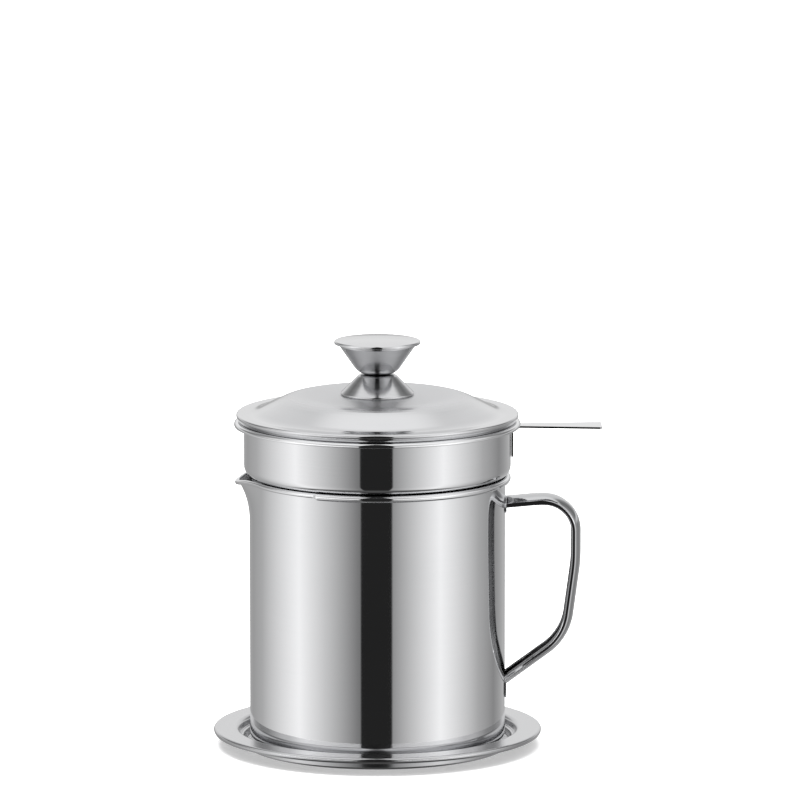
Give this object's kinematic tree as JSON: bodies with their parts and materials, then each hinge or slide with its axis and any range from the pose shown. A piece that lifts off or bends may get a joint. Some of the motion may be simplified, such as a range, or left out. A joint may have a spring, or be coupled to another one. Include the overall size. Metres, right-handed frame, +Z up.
{
  "type": "oil strainer pot",
  "caption": "Polished steel pot for used cooking oil: spouted pot with strip handle, lift-out strainer cup with perforated floor, knobbed lid and drip tray.",
  "frame": {"origin": "centre of the tray's flat underside", "axes": "+Z up along the pot's axis, the handles towards +X, the spout towards -X"},
  "size_m": [0.1823, 0.1542, 0.193],
  "materials": {
    "polished_steel": "mirror polished stainless steel",
    "satin_steel": "satin stainless steel",
    "mesh_steel": "fine perforated stainless steel",
    "fastener_steel": "turned steel"
  },
  "bodies": {
    "tray": {"tray": "satin_steel"},
    "pot": {"pot_body": "polished_steel", "pot_handle": "polished_steel"},
    "strainer": {"strainer_cup": "polished_steel", "strainer_mesh": "mesh_steel", "strainer_handle": "polished_steel"},
    "lid": {"lid_dome": "polished_steel", "lid_collar": "polished_steel", "knob_cap": "polished_steel", "knob_cone": "polished_steel", "knob_boss": "fastener_steel", "knob_skirt": "polished_steel", "knob_screw": "fastener_steel", "knob_washer": "fastener_steel"}
  },
  "joints": [
    {"name": "pot_lift", "type": "slide", "parent": "tray", "child": "pot", "axis": [0, 0, 1], "range_m": [0, 0.0445]},
    {"name": "strainer_lift", "type": "slide", "parent": "pot", "child": "strainer", "axis": [0, 0, 1], "range_m": [0, 0.0323]},
    {"name": "lid_lift", "type": "slide", "parent": "strainer", "child": "lid", "axis": [0, 0, 1], "range_m": [0, 0.0383]}
  ]
}
